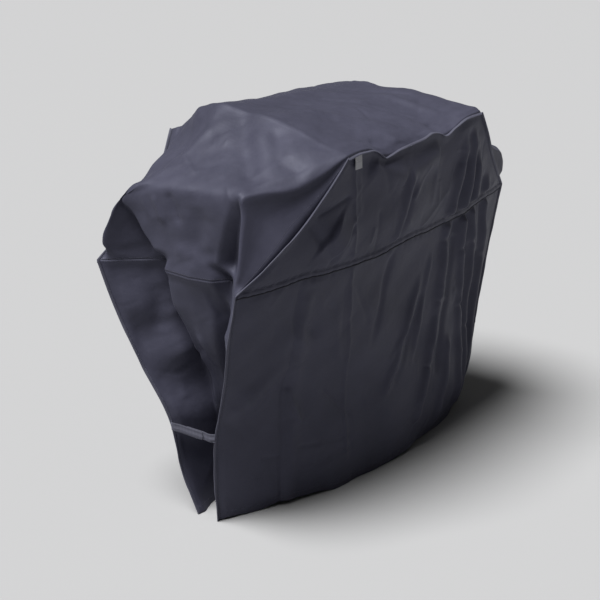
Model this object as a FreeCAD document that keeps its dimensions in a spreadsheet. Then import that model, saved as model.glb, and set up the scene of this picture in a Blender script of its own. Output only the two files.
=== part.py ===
import FreeCAD, Part
import os
import re
import Sketcher

"""A fabric cover for a grill cart, standing as if the cart were inside it.

Millimetres, +Z up. The origin is on the ground under the middle of the cover.
-Y is the cover's front and +X its right end. Each cut piece of cloth, tape and
webbing is one body, lofted or padded from sketches bound to the Sizes sheet.
"""

SIZES = {
    "waist_width": 1320,  # cover's width at the shelves and the waist seam
    "strap_level_width": 1200,
    "hem_width": 1128,
    "hood_width": 662,
    "waist_height": 726,  # horizontal seam between yokes and skirts
    "strap_height": 275,
    "left_shelf_height": 968,
    "right_shelf_height": 834,
    "lip_height": 1018,  # lower edge of the hood's front and rear lips
    "lip_rise": 14,
    "left_ridge_height": 1121,
    "right_ridge_height": 1076,
    "left_brow_height": 1106,
    "right_brow_height": 1064,
    "hood_front": 303,  # distances ahead of the origin
    "hood_rear": 303,  # and behind it
    "ridge_rear": 162,
    "brow_front": 47,
    "shelf_front": 207,
    "shelf_rear": 150,
    "waist_corner_front": 193,
    "waist_corner_rear": 285,
    "waist_middle_front": 267,
    "waist_middle_rear": 303,
    "strap_middle_front": 236,
    "strap_middle_rear": 255,
    "hem_middle_front": 206,
    "hem_middle_rear": 215,
    "left_corner_front": 67,  # front corner beside the left strap
    "right_corner_front": 155,
    "left_hem_front": 39,
    "right_hem_front": 116,
    "left_hem_gap": 66,
    "right_hem_gap": 86,
    "cloth": 1.5,
    "valley_depth_hem": 190,  # how far the end pleats fold in
    "valley_depth_strap": 155,
    "valley_depth_waist": 100,
    "flap_depth": 46,
    "binding_width": 8,
    "binding_thickness": 5,
    "tape_width": 20,
    "tape_thickness": 1,
    "tape_inset": 24,  # waist tapes stop short of the corners
    "webbing_width": 25,
    "webbing_thickness": 1.5,
    "hook_length": 122,
    "loop_length": 96,
    "left_overlap": 61,  # hook strap over loop strap
    "right_overlap": 32,
    "strip_width": 20,  # hook-and-loop strips sewn on the webbing
    "strip_thickness": 1,
    "strip_margin": 4,
    "strap_clearance": 0.3,
    "strap_standoff": 2.5,  # from the bindings, and from the seam along the strap
    "tag_width": 30,
    "tag_height": 20,
    "tag_thickness": 0.8,
    "tag_middle": 290,  # left of the origin
    "tag_clearance": 1,
}

document = FreeCAD.newDocument("GrillCover")
sheet = document.addObject("Spreadsheet::Sheet", "Sizes")
for line, (word, value) in enumerate(SIZES.items(), start=1):
    sheet.set("A%d" % line, word)
    sheet.set("B%d" % line, str(value))
    sheet.setAlias("B%d" % line, word)
document.recompute()


def bound(text):
    """The expression with each sheet word written as a reference to its cell."""
    return re.sub(r"[a-z_]+", lambda word: "Sizes." + word.group(), text)


def new_body(name):
    body = document.addObject("PartDesign::Body", name)
    body.Label = name
    return body


def section(body, plane, offset, outline):
    """A closed sketch on a plane moved along its normal, with every corner bound to the sheet."""
    name = "%s_section_%d" % (body.Name, len(body.Group))
    sketch = body.newObject("Sketcher::SketchObject", name)
    support = next(item for item in body.Origin.OriginFeatures if item.Role == plane)
    sketch.AttachmentSupport = [(support, "")]
    sketch.MapMode = "FlatFace"
    sketch.setExpression("AttachmentOffset.Base.z", bound(offset))
    count = len(outline)
    turn = FreeCAD.Rotation(FreeCAD.Vector(0, 0, 1), 360 / count)
    corner = FreeCAD.Vector(100, 0, 0)
    for _ in outline:
        following = turn.multVec(corner)
        sketch.addGeometry(Part.LineSegment(corner, following), False)
        corner = following
    for index, (across, up) in enumerate(outline):
        joined = Sketcher.Constraint("Coincident", index, 2, (index + 1) % count, 1)
        sketch.addConstraint(joined)
        for direction, text in (("DistanceX", across), ("DistanceY", up)):
            place = sketch.addConstraint(Sketcher.Constraint(direction, -1, 1, index, 1, 50))
            sketch.setExpression("Constraints[%d]" % place, bound(text))
    return sketch


def loft(body, plane, sections):
    """A ruled solid through closed outlines, each given as (offset, outline)."""
    sketches = [section(body, plane, offset, outline) for offset, outline in sections]
    feature = body.newObject("PartDesign::AdditiveLoft", body.Name + "_loft_%d" % len(body.Group))
    feature.Profile = sketches[0]
    feature.Sections = sketches[1:]
    feature.Ruled = True
    return feature


def mix(low, high, share):
    return "(%s) + ((%s) - (%s)) * (%s)" % (low, high, low, share)


def shifted(point, across="0", along="0"):
    return ("%s + (%s)" % (point[0], across), "%s + (%s)" % (point[1], along))


# Rows: the five points of a long panel at one height, from its left corner to its right.
SHARES = (0, 0.25, 0.5, 0.75, 1)


def row(half_width, left, middle, right):
    """A bowed row: its bow over the chord between the corners is a parabola."""
    points = []
    for share in SHARES:
        across = "(%s) * %g" % (half_width, 2 * share - 1)
        chord = mix(left, right, share)
        bow = "((%s) - ((%s) + (%s)) / 2) * %g" % (middle, left, right, 4 * share * (1 - share))
        points.append((across, "%s + %s" % (chord, bow)))
    return points


WAIST_X = "waist_width / 2"
STRAP_X = "strap_level_width / 2"
HEM_X = "hem_width / 2"
HOOD_X = "hood_width / 2"
LEFT_STRAP_GAP = "(hook_length + loop_length - left_overlap)"
RIGHT_STRAP_GAP = "(hook_length + loop_length - right_overlap)"

# Where the front and rear edges of each end stand, by level: (half width, front, rear, height).
CORNERS = {
    "left": {
        "hem": (HEM_X, "-left_hem_front", "-left_hem_front + left_hem_gap", "0"),
        "strap": (STRAP_X, "-left_corner_front", "-left_corner_front + " + LEFT_STRAP_GAP,
                  "strap_height"),
        "waist": (WAIST_X, "-waist_corner_front", "waist_corner_rear", "waist_height"),
        "hood": (HOOD_X, "-hood_front", "hood_rear", "lip_height"),
    },
    "right": {
        "hem": (HEM_X, "-right_hem_front", "-right_hem_front + right_hem_gap", "0"),
        "strap": (STRAP_X, "-right_corner_front", "-right_corner_front + " + RIGHT_STRAP_GAP,
                  "strap_height"),
        "waist": (WAIST_X, "-waist_corner_front", "waist_corner_rear", "waist_height"),
        "hood": (HOOD_X, "-hood_front", "hood_rear", "lip_height"),
    },
}
MIDDLES = {
    "hem": ("-hem_middle_front", "hem_middle_rear"),
    "strap": ("-strap_middle_front", "strap_middle_rear"),
    "waist": ("-waist_middle_front", "waist_middle_rear"),
    "hood": ("-hood_front", "hood_rear"),
}
FACES = {"front": 1, "rear": 2}
INWARD = {"front": 1, "rear": -1}
SIDES = {"left": -1, "right": 1}


def panel_ends(face, level):
    """A long panel's half width, left corner, middle and right corner at one level."""
    half_width = CORNERS["left"][level][0]
    left = CORNERS["left"][level][FACES[face]]
    right = CORNERS["right"][level][FACES[face]]
    return half_width, left, MIDDLES[level][FACES[face] - 1], right


def panel_row(face, level):
    return row(*panel_ends(face, level))


def band(points, face, start, thickness):
    """A thin closed outline along a row, from start to start + thickness inside it."""
    inward = INWARD[face]
    outer = [shifted(point, "0", "%d * (%s)" % (inward, start)) for point in points]
    depth = "%d * (%s + %s)" % (inward, start, thickness)
    inner = [shifted(point, "0", depth) for point in reversed(points)]
    return outer + inner


def height(level):
    return CORNERS["left"][level][3]


def skirt(face):
    """The long panel below the waist seam."""
    body = new_body(face + "_skirt")
    levels = ("hem", "strap", "waist")
    loft(body, "XY_Plane", [(height(level), band(panel_row(face, level), face, "0", "cloth"))
                            for level in levels])
    return body


def yoke(face):
    """The long panel above the waist seam, as wide as the hood along its top."""
    body = new_body(face + "_yoke")
    loft(body, "XY_Plane", [(height(level), band(panel_row(face, level), face, "0", "cloth"))
                            for level in ("waist", "hood")])
    return body


def waist_tape(face):
    """The sealing tape inside the waist seam, upright on the yoke's side of it."""
    body = new_body(face + "_waist_tape")
    _, left, middle, right = panel_ends(face, "waist")
    points = row("%s - tape_inset" % WAIST_X, left, middle, right)
    outline = band(points, face, "cloth", "tape_thickness")
    loft(body, "XY_Plane", [("waist_height", outline), ("waist_height + tape_width", outline)])
    return body


def end_outline(side, level, inset):
    """The folded end panel at one level: front corner, fold, middle, fold, rear corner.

    inset is the (across, along) thickness of the cloth at those five points.
    """
    sign = SIDES[side]
    half_width, front, rear, _ = CORNERS[side][level]
    front_edge = "%s + 2 * cloth" % front
    rear_edge = "%s - 2 * cloth" % rear
    middle = "(%s + %s) / 2" % (front, rear)
    if level == "waist":
        depths = ("0", "valley_depth_waist", "flap_depth", "valley_depth_waist", "0")
        places = (front_edge, mix(front_edge, rear_edge, "0.2"), middle,
                  mix(front_edge, rear_edge, "0.88"), rear_edge)
    else:
        depth = "valley_depth_" + level
        depths = ("0", depth + " / 2", depth, depth + " / 2", "0")
        places = (front_edge, mix(front_edge, middle, "0.5"), middle,
                  mix(middle, rear_edge, "0.5"), rear_edge)
    outer = [("%d * (%s - %s)" % (sign, half_width, depth), place)
             for depth, place in zip(depths, places)]
    inner = [shifted(point, "%g * cloth" % (-sign * across), "%g * cloth" % along)
             for point, (across, along) in zip(outer, inset)]
    return outer + inner[::-1]


PLEAT_INSET = ((0, -1), (0, -1), (5, 0), (0, 1), (0, 1))
WAIST_INSET = ((0, -1), (1.8, -0.4), (1, 0), (1.8, 0.4), (0, 1))
WALL_INSET = ((1, 0), (1, 0), (1, 0), (1, 0), (1, 0))


def end_skirt(side):
    """The end panel below the waist seam, folded inward like the side of a paper bag."""
    body = new_body(side + "_end_skirt")
    insets = {"hem": PLEAT_INSET, "strap": PLEAT_INSET, "waist": WAIST_INSET}
    loft(body, "XY_Plane", [(height(level), end_outline(side, level, inset))
                            for level, inset in insets.items()])
    return body


def strip_outline(points):
    """A closed outline under a run of (along, up, inset along, inset up) points."""
    outer = [(along, up) for along, up, _, _ in points]
    inner = [shifted((along, up), "%g * cloth" % inset[0], "%g * cloth" % inset[1])
             for along, up, *inset in points]
    return outer + inner[::-1]


def shelf_section(side):
    """The top strip's outline over a shelf."""
    shelf = side + "_shelf_height"
    return strip_outline([
        ("-waist_corner_front", "waist_height", 1, 0),
        ("-shelf_front", shelf, 1, -1),
        ("-brow_front", shelf, 0, -1),
        ("shelf_rear / 2", shelf, 0, -1),
        ("shelf_rear", shelf, -1, -1),
        ("waist_corner_rear", "waist_height", -1, 0),
    ])


def hood_section(side):
    """The top strip's outline over one end of the hood."""
    return strip_outline([
        ("-hood_front", "lip_height", 1, 0),
        ("-hood_front", "lip_height + lip_rise", 1, -1),
        ("-brow_front", side + "_brow_height", 0, -1),
        ("ridge_rear", side + "_ridge_height", 0, -1),
        ("hood_rear", "lip_height + lip_rise", -1, -1),
        ("hood_rear", "lip_height", -1, 0),
    ])


def top_strip():
    """One strip of cloth from waist seam to waist seam, over both shelves and the hood."""
    body = new_body("top_strip")
    loft(body, "YZ_Plane", [
        ("-" + WAIST_X, shelf_section("left")),
        ("-" + HOOD_X, hood_section("left")),
        (HOOD_X, hood_section("right")),
        (WAIST_X, shelf_section("right")),
    ])
    for side, sign in SIDES.items():
        low = end_outline(side, "waist", WAIST_INSET)
        outer = [("%d * %s" % (sign, WAIST_X), mix("-shelf_front", "shelf_rear", share))
                 for share in SHARES]
        inner = [shifted(point, "%d * cloth" % -sign) for point in reversed(outer)]
        top = side + "_shelf_height - cloth / 2"
        loft(body, "XY_Plane", [("waist_height", low), (top, outer + inner)])
    return body


def end_waist_tape(side):
    """The sealing tape inside an end's waist seam."""
    body = new_body(side + "_waist_tape")
    sign = SIDES[side]
    low = end_outline(side, "waist", WAIST_INSET)
    inner = low[:4:-1]
    top = [("%d * %s" % (sign, WAIST_X), mix("-shelf_front", "shelf_rear", share))
           for share in SHARES]
    top = [shifted(point, "%d * cloth" % -sign) for point in top]
    share = "tape_width / (%s_shelf_height - waist_height)" % side
    high = [(mix(a[0], b[0], share), mix(a[1], b[1], share)) for a, b in zip(inner, top)]
    sections = []
    for level, points in (("waist_height", inner), ("waist_height + tape_width", high)):
        back = [shifted(point, "%d * tape_thickness" % -sign) for point in reversed(points)]
        sections.append((level, points + back))
    loft(body, "XY_Plane", sections)
    return body


def corner_binding(face, side):
    """The tape folded over a seam's raw edges, from the hood's corner to the hem."""
    body = new_body("%s_%s_seam_binding" % (face, side))
    sign = SIDES[side]
    sections = []
    for level in ("hem", "strap", "waist", "hood"):
        corner = CORNERS[side][level]
        edge = ("%d * %s" % (sign, corner[0]), corner[FACES[face]])
        reach = "%d * binding_width" % sign
        proud = "%d * binding_thickness" % -INWARD[face]
        sections.append((corner[3], [
            edge,
            shifted(edge, reach),
            shifted(edge, reach, proud),
            shifted(edge, "0", proud),
        ]))
    loft(body, "XY_Plane", sections)
    return body


def lip_binding(face):
    """The tape folded over the seam between the hood's top and a yoke."""
    body = new_body(face + "_hood_seam_binding")
    outward = -INWARD[face]
    edge = ("%d * hood_%s" % (outward, face), "lip_height")
    reach = "%d * binding_width" % outward
    outline = [edge, shifted(edge, reach), shifted(edge, reach, "binding_thickness"),
               shifted(edge, "0", "binding_thickness")]
    inset = "binding_width"
    loft(body, "YZ_Plane", [("-%s + %s" % (HOOD_X, inset), outline),
                            ("%s - %s" % (HOOD_X, inset), outline)])
    return body


def plate(name, plane, offset, low, high, thickness):
    """A flat rectangle from corner low to corner high, padded along the plane's normal."""
    body = new_body(name)
    outline = [low, (high[0], low[1]), high, (low[0], high[1])]
    sketch = section(body, plane, offset, outline)
    pad = body.newObject("PartDesign::Pad", name + "_pad")
    pad.Profile = sketch
    pad.setExpression("Length", bound(thickness))
    return body


def strap_pair(side):
    """The hook strap over the loop strap, each with its strip of hooks or loops."""
    sign = SIDES[side]
    half_width, front, rear, level = CORNERS[side]["strap"]
    low = "%s - webbing_width / 2" % level
    high = "%s + webbing_width / 2" % level
    strip_low = "%s - strip_width / 2" % level
    strip_high = "%s + strip_width / 2" % level
    root = "strap_standoff"
    start = "(%s + binding_width + strap_standoff)" % half_width
    layers = [
        ("loop_strap", "webbing_thickness", "0"),
        ("loop_strip", "strip_thickness", "webbing_thickness"),
        ("hook_strip", "strip_thickness", "webbing_thickness + strip_thickness + strap_clearance"),
        ("hook_strap", "webbing_thickness",
         "webbing_thickness + 2 * strip_thickness + strap_clearance"),
    ]
    loop_end = "%s + loop_length" % front
    hook_end = "%s - hook_length" % rear
    spans = {
        "loop_strap": ("%s + %s" % (front, root), loop_end, low, high),
        "loop_strip": ("%s + loop_length / 3" % front, loop_end + " - strip_margin",
                       strip_low, strip_high),
        "hook_strip": (hook_end + " + strip_margin", "%s - hook_length / 3" % rear,
                       strip_low, strip_high),
        "hook_strap": (hook_end, "%s - %s" % (rear, root), low, high),
    }
    pieces = []
    for layer, thickness, depth in layers:
        near, far, bottom, top = spans[layer]
        inner_face = "%s + %s" % (start, depth)
        if sign < 0:
            inner_face = "-(%s + %s)" % (inner_face, thickness)
        pieces.append(plate("%s_%s" % (side, layer), "YZ_Plane", inner_face,
                            (near, bottom), (far, top), thickness))
    return pieces


def brand_tag():
    """The woven tag folded into the hood's front seam, hanging over the yoke."""
    low = ("-tag_middle - tag_width / 2", "lip_height - tag_clearance - tag_height")
    high = ("-tag_middle + tag_width / 2", "lip_height - tag_clearance")
    offset = "hood_front + binding_width / 2 + tag_thickness / 2"
    return plate("brand_tag", "XZ_Plane", offset, low, high, "tag_thickness")


parts = [top_strip()]
for face in FACES:
    parts += [yoke(face), skirt(face), waist_tape(face), lip_binding(face)]
    parts += [corner_binding(face, side) for side in SIDES]
for side in SIDES:
    parts += [end_skirt(side), end_waist_tape(side)]
    parts += strap_pair(side)
parts.append(brand_tag())
document.recompute()

for item in document.Objects:
    if {"Invalid", "Error"} & set(item.State):
        raise RuntimeError("%s failed: %s" % (item.Label, item.State))
for piece in parts:
    if piece.Shape.isNull() or not piece.Shape.isValid() or len(piece.Shape.Solids) != 1:
        raise RuntimeError("%s is not one valid solid" % piece.Label)

os.makedirs("parts", exist_ok=True)
for piece in parts:
    piece.Shape.exportStep("parts/%s.step" % piece.Label)
    print(piece.Label, round(piece.Shape.Volume), piece.Shape.BoundBox)
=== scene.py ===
import math

import bpy
import numpy as np
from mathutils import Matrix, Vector


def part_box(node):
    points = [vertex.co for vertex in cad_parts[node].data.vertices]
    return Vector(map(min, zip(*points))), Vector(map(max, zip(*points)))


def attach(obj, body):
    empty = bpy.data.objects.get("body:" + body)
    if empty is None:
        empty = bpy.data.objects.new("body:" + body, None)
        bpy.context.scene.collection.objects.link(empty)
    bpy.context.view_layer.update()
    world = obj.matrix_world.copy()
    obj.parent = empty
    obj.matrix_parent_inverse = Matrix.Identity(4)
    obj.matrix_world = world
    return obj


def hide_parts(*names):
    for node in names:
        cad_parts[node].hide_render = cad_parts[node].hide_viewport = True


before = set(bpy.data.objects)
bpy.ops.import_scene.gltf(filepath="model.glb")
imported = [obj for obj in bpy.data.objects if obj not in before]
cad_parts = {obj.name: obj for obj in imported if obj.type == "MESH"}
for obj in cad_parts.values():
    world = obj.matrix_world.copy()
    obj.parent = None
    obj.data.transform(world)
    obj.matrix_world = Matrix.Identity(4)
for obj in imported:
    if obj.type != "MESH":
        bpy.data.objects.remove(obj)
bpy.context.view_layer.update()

# ---------------------------------------------------------------- sizes from the frame, in metres

skirt_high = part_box("front_skirt")[1]
yoke_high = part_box("front_yoke")[1]
strip_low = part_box("top_strip")[0]
lip_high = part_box("front_hood_seam_binding")[1]
strap_low, strap_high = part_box("left_hook_strap")
LIP_RISE = 0.010  # of the visual lip over the yoke's CAD box, and its reach past the binding's
LIP_REACH = 0.008
WAIST_OUT = skirt_high[0]
WAIST_Z = skirt_high[2]
LIP_Z = yoke_high[2] + LIP_RISE
LIP_OUT = lip_high[0] + LIP_REACH
HOOD_Y = -strip_low[1]
STRAP_Z = (strap_low[2] + strap_high[2]) / 2
FACE_SIGN = {"front": -1, "rear": 1}
SIDE_SIGN = {"left": -1, "right": 1}

CELL = 0.0055  # spacing of the cloth's mesh
CLOTH = 0.0011  # thickness of the cloth

# ---------------------------------------------------------------- curves and grids


def hermite(knots, values, places):
    """A smooth curve through values at knots, read at places."""
    knots = np.asarray(knots, float)
    values = np.asarray(values, float)
    slopes = np.gradient(values, knots, axis=0)
    index = np.clip(np.searchsorted(knots, places, side="right") - 1, 0, len(knots) - 2)
    span = knots[index + 1] - knots[index]
    share = (places - knots[index]) / span
    shape = (-1,) + (1,) * (values.ndim - 1)
    share = share.reshape(shape)
    span = span.reshape(shape)
    start, end = values[index], values[index + 1]
    return (
        start * (2 * share**3 - 3 * share**2 + 1)
        + end * (3 * share**2 - 2 * share**3)
        + slopes[index] * span * (share**3 - 2 * share**2 + share)
        + slopes[index + 1] * span * (share**3 - share**2)
    )


def run_lengths(points):
    """Distance along a run of points, from 0."""
    steps = np.linalg.norm(np.diff(points, axis=0), axis=1)
    return np.concatenate([[0], np.cumsum(steps)])


def even(points, count):
    """The same run, with count points spaced evenly."""
    lengths = run_lengths(points)
    places = np.linspace(0, lengths[-1], count)
    return np.stack([np.interp(places, lengths, points[:, axis]) for axis in range(3)], axis=1)


def smooth_curve(points, count=200):
    """count even points on a smooth curve through a few points."""
    points = np.asarray(points, float)
    knots = run_lengths(points)
    return even(hermite(knots, points, np.linspace(0, knots[-1], 8 * count)), count)


def blur(grid, sigma, axis):
    """A Gaussian average along one axis that leaves both end rows in place."""
    if sigma < 0.3:
        return grid
    reach = max(1, min(int(3 * sigma), grid.shape[axis] - 1))
    weights = np.exp(-0.5 * (np.arange(-reach, reach + 1) / sigma) ** 2)
    weights /= weights.sum()
    moved = np.moveaxis(grid, axis, 0)
    before = 2 * moved[:1] - moved[reach:0:-1]
    after = 2 * moved[-1:] - moved[-2:-reach - 2:-1]
    padded = np.concatenate([before, moved, after])
    total = sum(weight * padded[k:k + len(moved)] for k, weight in enumerate(weights))
    return np.moveaxis(total, 0, axis)


def net_surface(net, rounding):
    """A grid through a net of control points: smooth down its rows, folded across its columns."""
    net = np.asarray(net, float)
    down = run_lengths(net.mean(axis=1))
    rows = hermite(down, net, np.linspace(0, down[-1], int(down[-1] / CELL) + 2))
    across = np.mean([run_lengths(row) for row in net], axis=0)
    places = np.linspace(0, across[-1], int(across[-1] / CELL) + 2)
    index = np.clip(np.searchsorted(across, places, side="right") - 1, 0, len(across) - 2)
    share = ((places - across[index]) / (across[index + 1] - across[index]))[None, :, None]
    grid = rows[:, index] * (1 - share) + rows[:, index + 1] * share
    grid = blur(grid, rounding / CELL, 1)
    return blur(grid, rounding / CELL, 0)


def coons(top, bottom, left, right):
    """A grid stretched between four edges. left and right run from top to bottom."""
    columns = int(max(run_lengths(top)[-1], run_lengths(bottom)[-1]) / CELL) + 2
    rows = int(max(run_lengths(left)[-1], run_lengths(right)[-1]) / CELL) + 2
    top, bottom = even(top, columns), even(bottom, columns)
    left, right = even(left, rows), even(right, rows)
    u = np.linspace(0, 1, columns)[None, :, None]
    v = np.linspace(0, 1, rows)[:, None, None]
    corners = ((1 - u) * (1 - v) * top[0] + u * (1 - v) * top[-1]
               + (1 - u) * v * bottom[0] + u * v * bottom[-1])
    return ((1 - v) * top[None] + v * bottom[None]
            + (1 - u) * left[:, None] + u * right[:, None] - corners)


def turned(grid, edge):
    """The same grid, seen with one of its edges as the first row."""
    return {"top": grid, "bottom": grid[::-1], "left": grid.swapaxes(0, 1),
            "right": grid[:, ::-1].swapaxes(0, 1)}[edge]


def snap(grid, edge, curve, reach):
    """Moves one edge of a grid onto a curve, with less movement further in."""
    rows = turned(grid, edge)
    shift = even(curve, rows.shape[1]) - rows[0]
    share = np.clip(np.linspace(0, 1, rows.shape[0]) / reach, 0, 1)
    fade = (1 - share) ** 2 * (1 + 2 * share)
    rows += fade[:, None, None] * shift[None]


def grid_normals(grid, outward):
    """Unit normals of a grid, turned to point the way that outward does on average."""
    down = np.gradient(grid, axis=0)
    across = np.gradient(grid, axis=1)
    normals = np.cross(down, across)
    normals /= np.maximum(np.linalg.norm(normals, axis=2, keepdims=True), 1e-9)
    if (normals * np.asarray(outward, float)).sum() < 0:
        normals = -normals
    return normals


# ---------------------------------------------------------------- folds

CALM = 0.03  # cloth this near a seam lies flatter


def crease(place, start, end, width, depth, sharp=False):
    """Height of one crease over places (across, up): a ridge, or a groove if depth is negative."""
    start, end = np.asarray(start, float), np.asarray(end, float)
    run = end - start
    share = ((place - start) @ run) / (run @ run)
    beyond = np.abs(share - 0.5) * 2
    taper = np.clip(1.25 - beyond, 0, 0.4) / 0.4
    taper = taper * taper * (3 - 2 * taper)
    side = np.abs((place[..., 0] - start[0]) * run[1] - (place[..., 1] - start[1]) * run[0])
    side /= np.linalg.norm(run)
    profile = np.exp(-side / width) if sharp else np.exp(-(side / width) ** 2)
    return depth * profile * taper


def bent_crease(place, points, width, depth, sharp=False):
    """A crease along several points, as the strongest of its straight parts."""
    parts = [crease(place, a, b, width, 1.0, sharp) for a, b in zip(points, points[1:])]
    return depth * np.max(parts, axis=0)


def ridge(grid, points, width, depth, sharp=False):
    """Height of one crease that runs near points in space, fading out past its ends."""
    points = np.asarray(points, float)
    best = np.zeros(grid.shape[:2])
    total = run_lengths(points)
    for index, (start, end) in enumerate(zip(points, points[1:])):
        run = end - start
        share = ((grid - start) @ run) / (run @ run)
        inside = np.clip(share, 0, 1)
        away = np.linalg.norm(grid - start - inside[..., None] * run, axis=2)
        profile = np.exp(-away / width) if sharp else np.exp(-(away / width) ** 2)
        along = (total[index] + inside * np.linalg.norm(run)) / total[-1]
        taper = np.clip(np.minimum(along, 1 - along) / 0.2, 0, 1)
        best = np.maximum(best, profile * (0.15 + 0.85 * taper * taper * (3 - 2 * taper)))
    return depth * best


def wrinkles(place, seed, count, length, width, depth, lean, spread=0.5):
    """Many small creases at chosen random places, leaning near one direction from upright."""
    random = np.random.default_rng(seed)
    low = place.reshape(-1, 2).min(axis=0)
    high = place.reshape(-1, 2).max(axis=0)
    field = np.zeros(place.shape[:2])
    for _ in range(count):
        middle = random.uniform(low, high)
        angle = math.radians(lean) + random.normal(0, spread)
        half = random.uniform(0.4, 1.0) * length / 2 * np.array([math.sin(angle), math.cos(angle)])
        wide = random.uniform(0.6, 1.4) * width
        deep = random.uniform(-1, 1) * depth
        field += crease(place, middle - half, middle + half, wide, deep, random.random() < 0.4)
    return field


def billow(place, seed, size, depth):
    """Soft uneven swelling, from a few waves of about one size in chosen random directions."""
    random = np.random.default_rng(seed)
    field = np.zeros(place.shape[:2])
    for _ in range(7):
        angle = random.uniform(0, math.tau)
        length = size * random.uniform(0.6, 1.6)
        phase = random.uniform(0, math.tau)
        along = place[..., 0] * math.cos(angle) + place[..., 1] * math.sin(angle)
        field += np.sin(along * math.tau / length + phase)
    return field * depth / math.sqrt(7)


def calm_edges(grid, free=()):
    """1 in the middle of a grid, 0 at its sewn edges, and 1 at its free ones."""
    rows, columns = grid.shape[:2]
    down = run_lengths(grid[:, columns // 2])
    across = run_lengths(grid[rows // 2])
    away = {"top": down, "bottom": down[-1] - down, "left": across, "right": across[-1] - across}
    hold = np.ones((rows, columns))
    for edge, distance in away.items():
        if edge in free:
            continue
        share = np.clip(distance / CALM, 0, 1)
        share = share * share * (3 - 2 * share)
        hold *= share[:, None] if edge in ("top", "bottom") else share[None, :]
    return hold


def folded(grid, height, outward, free=()):
    """The grid with its cloth moved along its normals by height."""
    shift = (height * calm_edges(grid, free))[..., None]
    return grid + grid_normals(grid, outward) * shift


# ---------------------------------------------------------------- edges that pieces share

# The places listed from here on follow the photo through a camera fitted to it. Several lists
# hold numbers as a program printed them.

# Corner seams from the hood's corner down to the hem: distance out from the middle, y and z.
DIAGONALS = {
    "front": [(LIP_OUT, -HOOD_Y, LIP_Z + 0.003), (0.400, -0.286, 0.954), (0.478, -0.260, 0.868),
              (0.565, -0.230, 0.793), (WAIST_OUT, -0.193, WAIST_Z)],
    "rear": [(LIP_OUT, HOOD_Y, LIP_Z - 0.006), (0.400, 0.286, 0.925), (0.478, 0.282, 0.850),
             (0.565, 0.283, 0.785), (WAIST_OUT, 0.285, WAIST_Z)],
}
UPRIGHTS = {
    ("front", "left"): [(WAIST_OUT, -0.193, WAIST_Z), (0.648, -0.163, 0.620),
                        (0.626, -0.125, 0.460), (0.600, -0.067, 0.275),
                        (0.585, -0.050, 0.140), (0.566, -0.039, 0.0)],
    ("front", "right"): [(WAIST_OUT, -0.193, WAIST_Z), (0.648, -0.184, 0.630),
                         (0.622, -0.166, 0.450), (0.600, -0.155, 0.275),
                         (0.580, -0.150, 0.140), (0.562, -0.118, 0.0)],
    ("rear", "left"): [(WAIST_OUT, 0.285, WAIST_Z), (0.645, 0.254, 0.620),
                       (0.625, 0.186, 0.460), (0.600, 0.090, 0.275),
                       (0.585, 0.074, 0.140), (0.566, 0.027, 0.0)],
    ("rear", "right"): [(WAIST_OUT, 0.285, WAIST_Z), (0.643, 0.222, 0.600),
                        (0.620, 0.118, 0.430), (0.600, 0.031, 0.275),
                        (0.582, 0.006, 0.140), (0.563, -0.030, 0.0)],
}
# Height of the hood's wavy front lip along x.
LIP_WAVES = [(-0.331, 0.003), (-0.286, 0.008), (-0.250, 0.006), (-0.213, 0.001), (-0.185, -0.013),
             (-0.160, -0.029), (-0.140, -0.027), (-0.090, -0.019), (-0.030, -0.015), (0.035, -0.011),
             (0.065, -0.005), (0.112, -0.015), (0.136, -0.026), (0.190, -0.014), (0.240, 0.000),
             (0.331, 0.003)]
HEM_WAVES = [(-0.38, 0.006), (-0.18, -0.012), (0.0, 0.004), (0.16, 0.009), (0.36, -0.012),
             (0.50, 0.014)]
WAIST_BOW = {"front": 0.074, "rear": 0.018}
HEM_MIDDLE = {"front": -0.213, "rear": 0.212}


def placed(points, side):
    """Points given as distances out from the middle, put on one side."""
    return np.array([(SIDE_SIGN[side] * out, y, z) for out, y, z in points])


def diagonal(face, side):
    return smooth_curve(placed(DIAGONALS[face], side))


def upright(face, side):
    return smooth_curve(placed(UPRIGHTS[face, side], side))


def at_height(curve, height):
    """The point where a falling curve crosses a height."""
    return np.array([np.interp(-height, -curve[:, 2], curve[:, axis]) for axis in range(3)])


def bowed(left, right, bow, waves):
    """An edge from left to right that bows out by bow and wanders by small waves of z."""
    share = np.linspace(0, 1, 300)[:, None]
    points = left + (right - left) * share
    points[:, 1] += bow * (4 * share * (1 - share))[:, 0]
    seed, size = waves
    random = np.random.default_rng(seed)
    hold = np.minimum(1, 12 * share * (1 - share))[:, 0]
    for length in (0.45, 0.23, 0.12):
        wave = np.sin(points[:, 0] * math.tau / length + random.uniform(0, math.tau))
        points[:, 2] += size * hold * wave * length / 0.45
    return points


def waist_edge(face):
    left = upright(face, "left")[0]
    right = upright(face, "right")[0]
    edge = bowed(left, right, FACE_SIGN[face] * WAIST_BOW[face], (3, 0.003))
    edge[:, 2] -= 0.008 * np.exp(-((edge[:, 0] + 0.26) / 0.16) ** 2)
    return edge


def hem_edge(face):
    left = upright(face, "left")[-1]
    right = upright(face, "right")[-1]
    bow = HEM_MIDDLE[face] - (left[1] + right[1]) / 2
    edge = bowed(left, right, bow, (5, 0.004))
    edge[:, 2] += 0.009 * np.minimum(1, 40 * (WAIST_OUT - np.abs(edge[:, 0])) - 3.6).clip(0)
    if face == "front":
        for middle, rise in HEM_WAVES:
            edge[:, 2] += rise * np.exp(-((edge[:, 0] - middle) / 0.05) ** 2)
    edge[:, 2] = np.maximum(edge[:, 2], 0.0)
    return edge


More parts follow.
